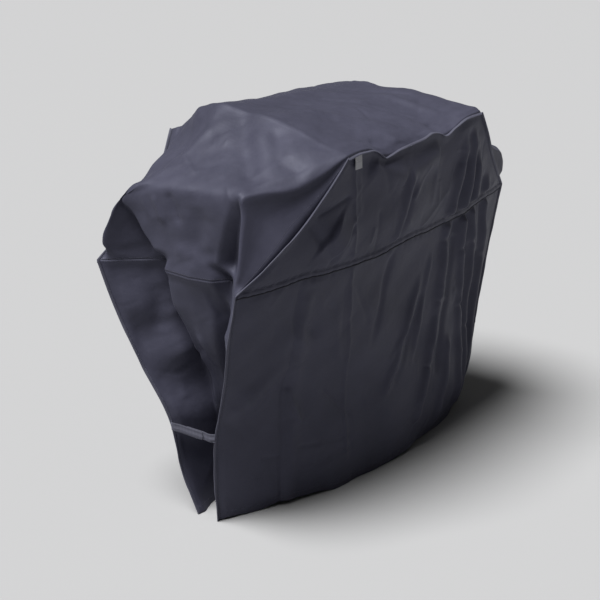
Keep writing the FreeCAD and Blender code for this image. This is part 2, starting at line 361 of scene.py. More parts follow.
def lip_edge(face):
    across = np.linspace(-LIP_OUT, LIP_OUT, 240)
    knots = np.array([x for x, _ in LIP_WAVES]) * LIP_OUT / LIP_WAVES[-1][0]
    rise = hermite(knots, [z for _, z in LIP_WAVES], across)
    if face == "rear":
        rise = -0.006 + 0.35 * (rise[::-1] - 0.003)
    depth = np.full_like(across, FACE_SIGN[face] * HOOD_Y)
    return np.stack([across, depth, LIP_Z + rise], axis=1)


# Folded ends: at each height, how deep each of seven columns lies and its share of the way
# from the front seam to the rear seam. The columns are the front ear's edge, a valley, the
# flap's front, middle and rear fold, a second valley and the rear ear's edge.
END_FOLDS = {
    WAIST_Z: [(0.003, 0.02), (0.095, 0.18), (0.047, 0.25), (0.034, 0.39), (0.040, 0.58),
              (0.130, 0.69), (0.010, 0.97)],
    0.600: [(0.003, 0.02), (0.100, 0.176), (0.053, 0.25), (0.043, 0.385), (0.051, 0.540),
            (0.130, 0.655), (0.010, 0.965)],
    0.480: [(0.003, 0.02), (0.109, 0.205), (0.077, 0.283), (0.071, 0.397), (0.079, 0.52),
            (0.131, 0.64), (0.011, 0.963)],
    0.360: [(0.003, 0.026), (0.112, 0.224), (0.106, 0.293), (0.112, 0.43), (0.117, 0.534),
            (0.133, 0.647), (0.009, 0.957)],
    STRAP_Z: [(0.003, 0.04), (0.120, 0.31), (0.138, 0.39), (0.150, 0.49), (0.142, 0.59),
              (0.122, 0.69), (0.010, 0.95)],
    0.140: [(0.003, 0.04), (0.123, 0.28), (0.153, 0.40), (0.175, 0.56), (0.170, 0.74),
            (0.140, 0.86), (0.012, 0.95)],
    0.0: [(0.003, 0.045), (0.116, 0.23), (0.166, 0.45), (0.196, 0.85), (0.190, 1.25),
          (0.150, 1.40), (0.011, 1.02)],
}
FOLD_ROUNDING = 0.0045


def end_row(side, height):
    """The nine control points of a folded end at one height."""
    front = at_height(upright("front", side), height)
    rear = at_height(upright("rear", side), height)
    sign = SIDE_SIGN[side]
    row = [front]
    for depth, share in END_FOLDS[height]:
        point = front + (rear - front) * share
        point[0] -= sign * depth
        row.append(point)
    row.append(rear)
    return np.array(row)


def end_waist_edge(side):
    """The waist seam across a folded end."""
    row = end_row(side, WAIST_Z)
    edge = even(row, 240)
    return blur(edge, FOLD_ROUNDING / (run_lengths(row)[-1] / 240), 0)


# Stations of the top strip from the waist to the hood's edge, for the same seven columns, as
# distance out, y and z. First comes the share of the diagonal seam that each has reached, and
# how far the cloth sags between the seam and the front ear.
STRIP_STATIONS = {
    "left": [
        (0.12, 0.004, [(0.645, -0.186, 0.790), (0.562, -0.124, 0.790), (0.602, -0.086, 0.790),
            (0.612, -0.012, 0.790), (0.618, 0.138, 0.790), (0.560, 0.180, 0.788),
            (0.662, 0.270, 0.790)]),
        (0.28, 0.012, [(0.626, -0.178, 0.865), (0.574, -0.142, 0.862), (0.602, -0.106, 0.864),
            (0.609, -0.010, 0.866), (0.622, 0.190, 0.862), (0.594, 0.208, 0.852),
            (0.653, 0.252, 0.845)]),
        (0.42, 0.020, [(0.606, -0.171, 0.928), (0.578, -0.150, 0.920), (0.600, -0.122, 0.926),
            (0.606, -0.008, 0.926), (0.628, 0.218, 0.904), (0.622, 0.224, 0.896),
            (0.636, 0.236, 0.885)]),
        (0.50, 0.024, [(0.596, -0.167, 0.960), (0.591, -0.150, 0.962), (0.588, -0.128, 0.962),
            (0.598, -0.005, 0.959), (0.613, 0.165, 0.950), (0.614, 0.184, 0.945),
            (0.613, 0.204, 0.935)]),
        (0.60, 0.022, [(0.552, -0.190, 0.968), (0.550, -0.162, 0.980), (0.550, -0.122, 0.987),
            (0.552, -0.010, 0.986), (0.558, 0.140, 0.976), (0.560, 0.182, 0.960),
            (0.562, 0.216, 0.934)]),
        (0.74, 0.016, [(0.480, -0.238, 0.970), (0.480, -0.205, 0.996), (0.482, -0.155, 1.014),
            (0.484, -0.035, 1.022), (0.486, 0.115, 1.016), (0.488, 0.175, 0.992),
            (0.490, 0.240, 0.962)]),
        (0.86, 0.010, [(0.400, -0.279, 1.004), (0.400, -0.256, 1.024), (0.400, -0.200, 1.046),
            (0.400, -0.055, 1.074), (0.400, 0.105, 1.078), (0.400, 0.175, 1.044),
            (0.400, 0.260, 0.990)]),
        (1.00, 0.000, [(0.331, -0.301, 1.040), (0.331, -0.286, 1.047), (0.331, -0.240, 1.058),
            (0.331, -0.060, 1.104), (0.331, 0.125, 1.119), (0.331, 0.205, 1.100),
            (0.331, 0.270, 1.038)]),
    ],
    "right": [
        (0.08, 0.004, [(0.667, -0.198, 0.765), (0.604, -0.138, 0.765), (0.622, -0.104, 0.765),
            (0.630, -0.015, 0.765), (0.622, 0.092, 0.765), (0.566, 0.142, 0.765),
            (0.665, 0.268, 0.765)]),
        (0.20, 0.008, [(0.660, -0.204, 0.798), (0.622, -0.170, 0.797), (0.640, -0.142, 0.799),
            (0.646, -0.020, 0.800), (0.640, 0.116, 0.800), (0.606, 0.160, 0.796),
            (0.664, 0.236, 0.790)]),
        (0.32, 0.012, [(0.640, -0.209, 0.826), (0.636, -0.190, 0.832), (0.634, -0.160, 0.836),
            (0.640, -0.030, 0.838), (0.645, 0.125, 0.836), (0.645, 0.152, 0.830),
            (0.648, 0.178, 0.822)]),
        (0.52, 0.014, [(0.560, -0.226, 0.868), (0.560, -0.200, 0.880), (0.560, -0.150, 0.890),
            (0.560, -0.030, 0.900), (0.562, 0.110, 0.894), (0.562, 0.160, 0.882),
            (0.565, 0.205, 0.860)]),
        (0.72, 0.012, [(0.460, -0.256, 0.920), (0.460, -0.230, 0.940), (0.460, -0.175, 0.960),
            (0.460, -0.040, 0.978), (0.460, 0.105, 0.976), (0.460, 0.165, 0.956),
            (0.460, 0.228, 0.920)]),
        (0.86, 0.008, [(0.395, -0.282, 0.968), (0.395, -0.262, 0.988), (0.395, -0.210, 1.006),
            (0.395, -0.055, 1.022), (0.395, 0.105, 1.026), (0.395, 0.170, 1.012),
            (0.395, 0.245, 0.972)]),
        (1.00, 0.000, [(0.331, -0.301, 1.038), (0.331, -0.286, 1.043), (0.331, -0.240, 1.050),
            (0.331, -0.060, 1.066), (0.331, 0.125, 1.073), (0.331, 0.205, 1.066),
            (0.331, 0.275, 1.036)]),
    ],
}
HOOD_STATIONS = 12  # rows of control points across the hood between its edges
EDGE_ROWS = (0.72, 0.955)  # extra rows beside the hood's edge, which keep it from going soft
HOOD_SAG = 0.006


def sagging(front, seam, ear, sag):
    """The control point between a diagonal seam and an ear, where the cloth hangs inward."""
    sign = 1 if front else -1
    middle = (np.asarray(seam, float) + np.asarray(ear, float)) / 2
    return middle + sag * np.array([0, 0.93 * sign, -0.35])


def strip_row(side, share, sag, points):
    """A station's eleven control points, its first and last on the diagonal seams."""
    seams = [diagonal(face, side)[::-1] for face in ("front", "rear")]
    ends = [seam[int(round(share * (len(seam) - 1)))] for seam in seams]
    middle = placed(points, side)
    return np.vstack([ends[0], sagging(True, ends[0], middle[0], sag), middle,
                      sagging(False, ends[1], middle[-1], sag), ends[1]])


def widened(row):
    """A folded end's nine control points, with the two that only the strip has."""
    return np.vstack([row[:1], (row[:1] + row[1:2]) / 2, row[1:-1],
                      (row[-2:-1] + row[-1:]) / 2, row[-1:]])


def hood_row(across):
    """A station on the hood itself, at one x, between its two edges."""
    share = (across + LIP_OUT) / (2 * LIP_OUT)
    sag = HOOD_SAG * 4 * share * (1 - share)
    left = np.array(STRIP_STATIONS["left"][-1][2])
    right = np.array(STRIP_STATIONS["right"][-1][2])
    middle = left + (right - left) * share
    front = lip_edge("front")
    rear = lip_edge("rear")
    front_z = np.interp(across, front[:, 0], front[:, 2])
    rear_z = np.interp(across, rear[:, 0], rear[:, 2])
    lift = (front_z - LIP_Z - 0.003) * np.array([1.0, 0.8, 0.45, 0.08, 0, 0, 0])
    middle[:, 0] = across
    middle[:, 2] += lift - sag
    start = np.array([across, -HOOD_Y, front_z])
    end = np.array([across, HOOD_Y, rear_z])
    return np.vstack([start, (start + middle[0]) / 2, middle, (end + middle[-1]) / 2, end])


def strip_net():
    """The top strip's control points, from the left end's waist to the right end's."""
    halves = {}
    for side in SIDE_SIGN:
        rows = [widened(end_row(side, WAIST_Z))]
        rows += [strip_row(side, *station) for station in STRIP_STATIONS[side]]
        rows[-1:-1] = [rows[-2] + (rows[-1] - rows[-2]) * share for share in EDGE_ROWS]
        halves[side] = rows
    places = np.linspace(-LIP_OUT, LIP_OUT, HOOD_STATIONS + 2)[1:-1]
    places = np.concatenate([[-0.318], places, [0.318]])
    return np.array(halves["left"] + [hood_row(x) for x in places] + halves["right"][::-1])


# ---------------------------------------------------------------- meshes


def mesh_object(name, vertices, faces, uvs=None):
    mesh = bpy.data.meshes.new(name)
    mesh.from_pydata([tuple(v) for v in vertices], [], faces)
    if uvs is not None:
        layer = mesh.uv_layers.new(name="cloth")
        loops = np.zeros(len(mesh.loops), dtype=np.int32)
        mesh.loops.foreach_get("vertex_index", loops)
        layer.data.foreach_set("uv", np.asarray(uvs)[loops].ravel())
    mesh.polygons.foreach_set("use_smooth", [True] * len(mesh.polygons))
    mesh.update()
    item = bpy.data.objects.new(name, mesh)
    bpy.context.scene.collection.objects.link(item)
    return item


def grid_faces(rows, columns, flip=False):
    index = np.arange(rows * columns).reshape(rows, columns)
    corners = [index[:-1, :-1], index[1:, :-1], index[1:, 1:], index[:-1, 1:]]
    if flip:
        corners.reverse()
    return np.stack([c.ravel() for c in corners], axis=1).tolist()


def grid_uvs(grid):
    """Metres along the cloth, across and down."""
    across = np.concatenate([np.zeros((grid.shape[0], 1)), np.cumsum(
        np.linalg.norm(np.diff(grid, axis=1), axis=2), axis=1)], axis=1)
    down = np.concatenate([np.zeros((1, grid.shape[1])), np.cumsum(
        np.linalg.norm(np.diff(grid, axis=0), axis=2), axis=0)], axis=0)
    return np.stack([across, down], axis=2).reshape(-1, 2)


def cloth_object(name, grid, outward, material, thickness=CLOTH):
    """A panel of cloth: the grid is its outer face, and its thickness goes inward."""
    normals = np.cross(np.gradient(grid, axis=0), np.gradient(grid, axis=1))
    flip = (normals * np.asarray(outward, float)).sum() < 0
    item = mesh_object(name, grid.reshape(-1, 3), grid_faces(*grid.shape[:2], flip),
                       grid_uvs(grid))
    item.data.materials.append(material)
    solid = item.modifiers.new("thickness", "SOLIDIFY")
    solid.thickness = thickness
    solid.offset = -1
    return item


def tube_faces(rows, count):
    """Faces of a tube of rows rings, each of count points, with both ends filled."""
    faces = [(row * count + k, row * count + (k + 1) % count,
              (row + 1) * count + (k + 1) % count, (row + 1) * count + k)
             for row in range(rows - 1) for k in range(count)]
    faces.append(tuple(range(count))[::-1])
    faces.append(tuple((rows - 1) * count + k for k in range(count)))
    return faces


def sweep(name, path, sideways, upward, profile, material):
    """A closed profile of (sideways, upward) points carried along a path."""
    path = np.asarray(path)
    count = len(profile)
    rings = [path + sideways * a + upward * b for a, b in profile]
    vertices = np.stack(rings, axis=1).reshape(-1, 3)
    lengths = np.repeat(run_lengths(path), count)
    around = np.tile(np.linspace(0, 0.02, count), len(path))
    item = mesh_object(name, vertices, tube_faces(len(path), count),
                       np.stack([around, lengths], axis=1))
    item.data.materials.append(material)
    fix_outside(item)
    return item


def fix_outside(item):
    """Turns all faces of a closed piece outward."""
    mesh = item.data
    vertices = np.zeros(len(mesh.vertices) * 3)
    mesh.vertices.foreach_get("co", vertices)
    vertices = vertices.reshape(-1, 3)
    mesh.calc_loop_triangles()
    triangles = np.zeros(len(mesh.loop_triangles) * 3, dtype=np.int32)
    mesh.loop_triangles.foreach_get("vertices", triangles)
    a, b, c = (vertices[triangles.reshape(-1, 3)[:, k]] for k in range(3))
    if (a * np.cross(b, c)).sum() < 0:
        mesh.flip_normals()


def rounded(width, thickness, points=3):
    """A rounded bar's outline from sideways 0 to width."""
    outline = []
    radius = thickness / 2
    for centre, first in ((width - radius, -90), (radius, 90)):
        for step in range(points + 1):
            angle = math.radians(first + 180 * step / points)
            outline.append((centre + radius * math.cos(angle), radius * math.sin(angle)))
    return outline


def unit(vectors):
    return vectors / np.maximum(np.linalg.norm(vectors, axis=-1, keepdims=True), 1e-9)


# ---------------------------------------------------------------- materials


class Nodes:
    """A short way to write node trees."""

    def __init__(self, name):
        self.material = bpy.data.materials.new(name)
        self.material.use_nodes = True
        self.tree = self.material.node_tree
        self.shader = self.tree.nodes["Principled BSDF"]

    def add(self, kind, inputs=(), **settings):
        node = self.tree.nodes.new(kind)
        for key, value in settings.items():
            setattr(node, key, value)
        for key, value in dict(inputs).items():
            self.feed(node.inputs[key], value)
        return node

    def feed(self, socket, value):
        if hasattr(value, "is_linked") or hasattr(value, "links"):
            self.tree.links.new(value, socket)
        else:
            socket.default_value = value

    def math(self, operation, a, b=0.0):
        return self.add("ShaderNodeMath", {0: a, 1: b}, operation=operation).outputs[0]

    def ramp(self, factor, stops):
        node = self.add("ShaderNodeValToRGB", {0: factor})
        elements = node.color_ramp.elements
        while len(elements) < len(stops):
            elements.new(0.5)
        for element, (position, color) in zip(elements, stops):
            element.position = position
            element.color = (*color, 1)
        return node.outputs[0]

    def noise(self, vector, scale, detail=3.0, roughness=0.55):
        node = self.add("ShaderNodeTexNoise", {"Vector": vector, "Scale": scale,
                                               "Detail": detail, "Roughness": roughness})
        return node.outputs[0]

    def wave(self, vector, scale, direction, distortion=0.0):
        node = self.add("ShaderNodeTexWave", {"Vector": vector, "Scale": scale,
                                              "Distortion": distortion, "Detail Scale": 1.5},
                        wave_type="BANDS", bands_direction=direction, wave_profile="SIN")
        return node.outputs[1]


def woven(name, dark, light, pitch, roughness, sheen, relief, rib=1.0):
    """Woven cloth: crossed yarns, slubs, uneven tone and a soft sheen."""
    nodes = Nodes(name)
    cloth = nodes.add("ShaderNodeTexCoord").outputs["UV"]
    place = nodes.add("ShaderNodeTexCoord").outputs["Object"]
    bands = 0.1 / pitch  # a yarn every pi times pitch, in metres
    warp = nodes.wave(cloth, bands, "X", 0.4)
    weft = nodes.wave(cloth, bands * rib, "Y", 0.4)
    yarns = nodes.math("MULTIPLY", nodes.math("ADD", warp, weft), 0.5)
    stretched = nodes.add("ShaderNodeMapping", {"Vector": cloth, "Scale": (900.0, 45.0, 1.0)})
    slub_warp = nodes.noise(stretched.outputs[0], 1.0, 2.0)
    crossed = nodes.add("ShaderNodeMapping", {"Vector": cloth, "Scale": (45.0, 900.0, 1.0)})
    slub_weft = nodes.noise(crossed.outputs[0], 1.0, 2.0)
    slubs = nodes.math("MULTIPLY", nodes.math("ADD", slub_warp, slub_weft), 0.5)
    broad = nodes.noise(place, 5.0, 4.0)
    fine = nodes.noise(place, 42.0, 4.0, 0.65)
    tone = nodes.math("ADD", nodes.math("MULTIPLY", broad, 0.45), nodes.math("MULTIPLY", fine, 0.2))
    tone = nodes.math("ADD", tone, nodes.math("MULTIPLY", slubs, 0.2))
    tone = nodes.math("ADD", tone, nodes.math("MULTIPLY", yarns, 0.15))
    nodes.feed(nodes.shader.inputs["Base Color"], nodes.ramp(tone, [(0.3, dark), (0.7, light)]))
    rough = nodes.math("ADD", nodes.math("MULTIPLY", fine, 0.22), roughness - 0.1)
    nodes.feed(nodes.shader.inputs["Roughness"], rough)
    nodes.shader.inputs["Sheen Weight"].default_value = sheen
    nodes.shader.inputs["Sheen Roughness"].default_value = 0.45
    nodes.shader.inputs["Sheen Tint"].default_value = (0.72, 0.74, 1.0, 1)
    nodes.shader.inputs["Specular IOR Level"].default_value = 0.22
    nodes.shader.inputs["Specular Tint"].default_value = (0.80, 0.82, 1.0, 1)
    height = nodes.math("ADD", nodes.math("MULTIPLY", yarns, 0.7), nodes.math("MULTIPLY", slubs, 0.5))
    first = nodes.add("ShaderNodeBump", {"Height": height, "Strength": relief,
                                         "Distance": 0.0004}).outputs[0]
    rumple = nodes.noise(place, 26.0, 5.0, 0.6)
    second = nodes.add("ShaderNodeBump", {"Height": rumple, "Strength": 0.35,
                                          "Distance": 0.004, "Normal": first}).outputs[0]
    nodes.feed(nodes.shader.inputs["Normal"], second)
    return nodes.material


COVER_CLOTH = woven("cover_cloth", (0.0300, 0.0300, 0.0450), (0.0560, 0.0560, 0.0820),
                    0.0011, 0.52, 0.05, 0.5)
BINDING = woven("binding_tape", (0.045, 0.045, 0.062), (0.090, 0.090, 0.120),
                0.0008, 0.55, 0.15, 0.6)
TAPE = woven("seam_tape", (0.020, 0.020, 0.024), (0.035, 0.035, 0.042), 0.002, 0.38, 0.0, 0.25)
WEBBING = woven("webbing", (0.028, 0.028, 0.037), (0.060, 0.060, 0.077), 0.0018, 0.6, 0.3, 0.9, 0.5)
HOOKS = woven("hook_strip", (0.050, 0.050, 0.060), (0.110, 0.110, 0.130), 0.0014, 0.45, 0.1, 1.0)
LOOPS = woven("loop_strip", (0.070, 0.070, 0.085), (0.150, 0.150, 0.180), 0.0022, 0.85, 0.7, 0.9)
TAG = woven("woven_tag", (0.22, 0.22, 0.23), (0.42, 0.42, 0.44), 0.0007, 0.45, 0.1, 0.6)
# Near-black strip colour: painted shadow under the yoke's lapped lower edge at the waist.
WAIST_SHADOW_PAINT = woven("waist_painted_shadow", (0.012, 0.012, 0.016), (0.024, 0.024, 0.031), 0.0008, 0.6, 0.1, 0.5)
THREAD = woven("sewing_thread", (0.030, 0.030, 0.036), (0.060, 0.060, 0.070), 0.0005, 0.5, 0.3, 0.5)

# ---------------------------------------------------------------- panels


def face_places(grid):
    """Where a front or rear panel's points lie, as x and z."""
    return grid[..., [0, 2]]


FOLD_STRENGTH = 1.45
# Creases on the front, by x and z: points, width, height and whether it is sharp. The first
# three rows make the two long storage creases.
FRONT_CREASES = [
    ([(-0.441, 0.700), (-0.424, 0.454), (-0.407, 0.277), (-0.391, -0.05)], 0.006, -0.0045, True),
    ([(-0.405, 0.66), (-0.392, 0.454), (-0.372, 0.277), (-0.372, -0.05)], 0.022, 0.0055, False),
    ([(-0.302, 1.05), (-0.268, 0.861), (-0.239, 0.690), (-0.220, 0.540), (-0.201, 0.392),
      (-0.172, 0.105)], 0.006, 0.0035, True),
    ([(-0.406, 0.370), (-0.350, 0.262)], 0.010, 0.006, False),
    ([(-0.400, 0.540), (-0.570, 0.340)], 0.045, 0.012, False),
    ([(-0.360, 0.560), (-0.540, 0.420)], 0.035, -0.006, False),
    ([(-0.346, 0.180), (-0.163, 0.152)], 0.007, -0.003, True),
    ([(-0.320, 0.094), (-0.157, 0.118)], 0.007, -0.003, True),
    ([(-0.459, 0.172), (-0.402, 0.164)], 0.006, -0.0025, True),
    ([(-0.278, 0.332), (-0.160, 0.220)], 0.009, -0.003, True),
    ([(-0.301, 0.919), (-0.408, 0.888)], 0.010, -0.005, True),
    ([(-0.36, 0.83), (-0.31, 0.79)], 0.055, 0.014, False),
    ([(-0.43, 0.87), (-0.33, 0.74)], 0.016, -0.004, False),
    ([(-0.21, 0.985), (-0.07, 0.925)], 0.035, 0.010, False),
    ([(-0.05, 0.93), (0.11, 0.95)], 0.035, 0.009, False),
    ([(0.107, 0.560), (-0.02, 0.250)], 0.016, 0.007, False),
    ([(0.140, 0.520), (0.03, 0.270)], 0.014, -0.004, False),
    ([(-0.038, 0.92), (-0.060, 0.70)], 0.016, 0.006, False),
    ([(-0.010, 0.90), (-0.100, 0.46)], 0.013, -0.004, False),
    ([(0.262, 0.95), (0.235, 0.66), (0.238, 0.467), (0.205, 0.26),
      (0.150, 0.10)], 0.020, 0.011, False),
    ([(0.290, 0.90), (0.300, 0.66), (0.300, 0.45), (0.270, 0.22)], 0.016, -0.007, False),
    ([(0.310, 0.96), (0.353, 0.60), (0.400, 0.40), (0.440, 0.05)], 0.018, 0.012, False),
    ([(0.345, 0.90), (0.395, 0.60), (0.440, 0.30)], 0.013, -0.006, False),
    ([(0.370, 0.88), (0.440, 0.60), (0.480, 0.30), (0.500, 0.02)], 0.016, 0.011, False),
    ([(0.470, 0.80), (0.520, 0.55), (0.540, 0.20)], 0.014, -0.006, False),
    ([(0.500, 0.78), (0.560, 0.52), (0.560, 0.15)], 0.014, 0.008, False),
    ([(0.16, 0.62), (0.12, 0.34)], 0.012, 0.005, False),
    ([(0.33, 0.30), (0.30, 0.05)], 0.018, 0.009, False),
]


def front_folds(place):
    """Height of the front's folds at places (x, z)."""
    height = billow(place, 11, 0.42, 0.004) + billow(place, 12, 0.16, 0.0012)
    for points, width, depth, sharp in FRONT_CREASES:
        height += bent_crease(place, points, width, depth, sharp)
    height += wrinkles(place, 21, 46, 0.16, 0.010, 0.0020, 12, 0.5)
    height += wrinkles(place, 22, 26, 0.06, 0.006, 0.0014, 70, 0.9)
    return height


def rear_folds(place):
    """The rear's folds: the same cloth hanging the same way, with other creases."""
    height = billow(place, 31, 0.40, 0.004) + billow(place, 32, 0.15, 0.0012)
    for across in (-0.30, 0.30):
        height += bent_crease(place, [(across, 1.0), (across * 0.97, 0.70), (across * 1.05, 0.35),
                                      (across, 0.0)], 0.006, 0.0035, True)
    random = np.random.default_rng(33)
    for across in np.linspace(-0.52, 0.52, 9):
        top = across + random.uniform(-0.03, 0.03)
        foot = across * 0.92 + random.uniform(-0.05, 0.05)
        height += crease(place, (top, random.uniform(0.65, 0.9)), (foot, random.uniform(-0.1, 0.2)),
                         random.uniform(0.014, 0.026), random.uniform(0.004, 0.011))
    height += wrinkles(place, 34, 46, 0.16, 0.010, 0.0020, 8, 0.5)
    height += wrinkles(place, 35, 26, 0.06, 0.006, 0.0014, 70, 0.9)
    return height


FACE_FOLDS = {"front": front_folds, "rear": rear_folds}
HEM_TURN = 0.022
LAP_PROUD = 0.0045  # the yoke's lower edge stands out this far, over LAP_WIDTH of cloth
LAP_WIDTH = 0.007
LAP_DROP = 0.0050


def hem_band(grid, outward):
    """The turned-up hem: a little thicker, with a slight pucker along its stitching."""
    down = grid.shape[0] * CELL
    from_hem = np.linspace(down, 0, grid.shape[0])[:, None]
    across = np.linspace(0, grid.shape[1] * CELL, grid.shape[1])[None, :]
    step = 1 / (1 + np.exp((from_hem - HEM_TURN) / 0.0025))
    pucker = np.sin(across * math.tau / 0.031) * np.sin(across * math.tau / 0.083 + 1)
    near = np.exp(-((from_hem - HEM_TURN) / 0.012) ** 2)
    height = 0.0010 * step + 0.0009 * pucker * near
    return grid + grid_normals(grid, outward) * height[..., None]


def waist_pucker(grid, outward, edge):
    """Small gathers that the stitching pulls in beside the waist seam."""
    rows = np.arange(grid.shape[0]) * CELL
    away = (rows if edge == "top" else rows[::-1])[:, None]
    across = np.linspace(0, grid.shape[1] * CELL, grid.shape[1])[None, :]
    wave = (np.sin(across * math.tau / 0.027) + 0.8 * np.sin(across * math.tau / 0.041 + 2)
            + 0.9 * np.sin(across * math.tau / 0.067 + 4))
    height = 0.0006 * wave * np.exp(-((away - 0.012) / 0.012) ** 2)
    return grid + grid_normals(grid, outward) * height[..., None]


def lapped(grid, outward):
    """The upper panel's lower edge, lying over the lower panel."""
    normals = grid_normals(grid, outward)
    away = np.linspace((grid.shape[0] - 1) * CELL, 0, grid.shape[0])
    proud = LAP_PROUD * np.exp(-(away / LAP_WIDTH) ** 2)
    grid = grid + normals * proud[:, None, None]
    grid[-1, :, 2] -= LAP_DROP
    return grid


def skirt_grid(face):
    outward = (0, FACE_SIGN[face], 0)
    grid = coons(waist_edge(face), hem_edge(face), upright(face, "left"), upright(face, "right"))
    height = FOLD_STRENGTH * FACE_FOLDS[face](face_places(grid))
    grid = folded(grid, height, outward, free=("bottom",))
    grid = waist_pucker(grid, outward, "top")
    return hem_band(grid, outward)


def yoke_grid(face):
    outward = (0, FACE_SIGN[face], 0)
    grid = coons(lip_edge(face), waist_edge(face), diagonal(face, "left"), diagonal(face, "right"))
    grid = folded(grid, FOLD_STRENGTH * FACE_FOLDS[face](face_places(grid)), outward)
    return lapped(waist_pucker(grid, outward, "bottom"), outward)


# Folds on an end skirt: points as distance out, y and z, then width and height.
END_RIDGES = [
    ([(0.546, 0.137, 0.608), (0.539, 0.116, 0.512), (0.520, 0.090, 0.440)], 0.034, 0.012, False),
    ([(0.560, 0.180, 0.660), (0.560, 0.150, 0.520)], 0.028, -0.007, False),
    ([(0.570, 0.090, 0.420), (0.555, 0.070, 0.330)], 0.016, 0.008, False),
    ([(0.585, -0.010, 0.690), (0.572, 0.020, 0.560), (0.545, 0.040, 0.440)], 0.010, -0.005, True),
    ([(0.590, 0.040, 0.700), (0.580, -0.040, 0.600)], 0.012, 0.007, False),
    ([(0.580, 0.000, 0.560), (0.550, -0.030, 0.440)], 0.012, 0.006, False),
    ([(0.600, 0.160, 0.700), (0.600, 0.230, 0.660)], 0.005, -0.003, True),
]


def end_skirt_grid(side):
    sign = SIDE_SIGN[side]
    net = np.array([end_row(side, height) for height in END_FOLDS])
    grid = net_surface(net, FOLD_ROUNDING)
    snap(grid, "left", upright("front", side), 0.06)
    snap(grid, "right", upright("rear", side), 0.06)
    snap(grid, "top", end_waist_edge(side), 0.15)
    places = grid_uvs(grid).reshape(*grid.shape[:2], 2)
    seed = 41 + SIDE_SIGN[side]
    height = billow(places, seed, 0.24, 0.0060) + billow(places, seed + 5, 0.12, 0.0012)
    height += wrinkles(places, seed + 10, 30, 0.20, 0.014, 0.0040, 25, 0.5)
    height += wrinkles(places, seed + 20, 30, 0.08, 0.005, 0.0012, 60, 0.9)
    for points, width, depth, sharp in END_RIDGES:
        height += ridge(grid, placed(points, side), width, depth, sharp)
    grid = folded(grid, height, (sign, 0, 0), free=("bottom",))
    return hem_band(grid, (sign, 0, 0))


# Folds on both shoulders of the top strip, written the same way, and folds on the hood.
STRIP_RIDGES = [
    ([(0.345, 0.060, 1.106), (0.352, 0.026, 1.100), (0.431, -0.036, 1.055), (0.511, -0.119, 1.004),
      (0.540, -0.185, 0.950)], 0.034, -0.012, False),
    ([(0.345, -0.080, 1.092), (0.438, -0.163, 1.034), (0.445, -0.215, 1.014),
      (0.438, -0.256, 0.972)], 0.026, -0.008, False),
    ([(0.400, -0.250, 1.020), (0.450, -0.250, 0.960), (0.540, -0.225, 0.850)], 0.016, 0.007, False),
    ([(0.620, 0.165, 0.935), (0.622, 0.130, 0.860)], 0.006, 0.005, True),
    ([(0.616, 0.120, 0.930), (0.616, 0.080, 0.850)], 0.009, 0.006, False),
    ([(0.606, 0.075, 0.945), (0.614, 0.030, 0.860)], 0.012, -0.007, False),
    ([(0.604, -0.020, 0.925), (0.612, -0.035, 0.770)], 0.034, -0.009, False),
    ([(0.614, 0.060, 0.790), (0.610, -0.020, 0.790), (0.608, -0.080, 0.835)], 0.020, 0.006, False),
    ([(0.480, 0.140, 1.010), (0.560, 0.020, 0.985)], 0.010, 0.004, False),
    ([(0.380, 0.100, 1.080), (0.500, 0.180, 0.985)], 0.016, -0.006, False),
]
HOOD_RIDGES = [
    ([(-0.331, 0.200, 1.105), (-0.334, 0.060, 1.118), (-0.333, -0.100, 1.095),
      (-0.331, -0.270, 1.050)], 0.006, 0.003, True),
    ([(0.331, 0.200, 1.070), (0.331, -0.100, 1.063), (0.331, -0.270, 1.046)], 0.006, 0.002, True),
    ([(-0.250, 0.080, 1.115), (-0.060, -0.060, 1.090)], 0.020, -0.005, False),
    ([(-0.200, -0.020, 1.100), (-0.030, -0.200, 1.050), (0.020, -0.290, 1.020)], 0.016, 0.006, False),
    ([(0.060, 0.100, 1.095), (0.200, -0.080, 1.070), (0.220, -0.260, 1.030)], 0.018, 0.006, False),
    ([(0.000, 0.080, 1.100), (0.140, -0.240, 1.035)], 0.012, -0.005, False),
    ([(0.150, 0.120, 1.085), (0.290, -0.100, 1.062)], 0.014, -0.004, False),
    ([(-0.160, -0.240, 1.030), (-0.130, -0.301, 0.995)], 0.018, -0.008, False),
    ([(0.130, -0.240, 1.030), (0.136, -0.301, 1.000)], 0.016, -0.006, False),
]


def strip_folds(grid, places):
    """Folds of the top strip, by distance across the strip and along it from its left end."""
    height = billow(places, 51, 0.28, 0.0036) + billow(places, 52, 0.12, 0.0012)
    height += wrinkles(places, 53, 60, 0.20, 0.012, 0.0028, 20, 0.8)
    height += wrinkles(places, 54, 70, 0.07, 0.0050, 0.0012, 60, 0.9)
    for points, width, depth, sharp in STRIP_RIDGES:
        for side in SIDE_SIGN:
            height += ridge(grid, placed(points, side), width, depth, sharp)
    for points, width, depth, sharp in HOOD_RIDGES:
        height += ridge(grid, points, width, depth, sharp)
    return height


def strip_grid():
    net = strip_net()
    grid = net_surface(net, FOLD_ROUNDING)
    front = np.concatenate([diagonal("front", "left")[::-1], lip_edge("front")[1:-1],
                            diagonal("front", "right")])
    rear = np.concatenate([diagonal("rear", "left")[::-1], lip_edge("rear")[1:-1],
                           diagonal("rear", "right")])
    nearest(grid, 0, front)
    nearest(grid, -1, rear)
    snap(grid, "top", end_waist_edge("left"), 0.03)
    snap(grid, "bottom", end_waist_edge("right"), 0.03)
    places = grid_uvs(grid).reshape(*grid.shape[:2], 2)
    return folded(grid, strip_folds(grid, places), (0, 0, 1))


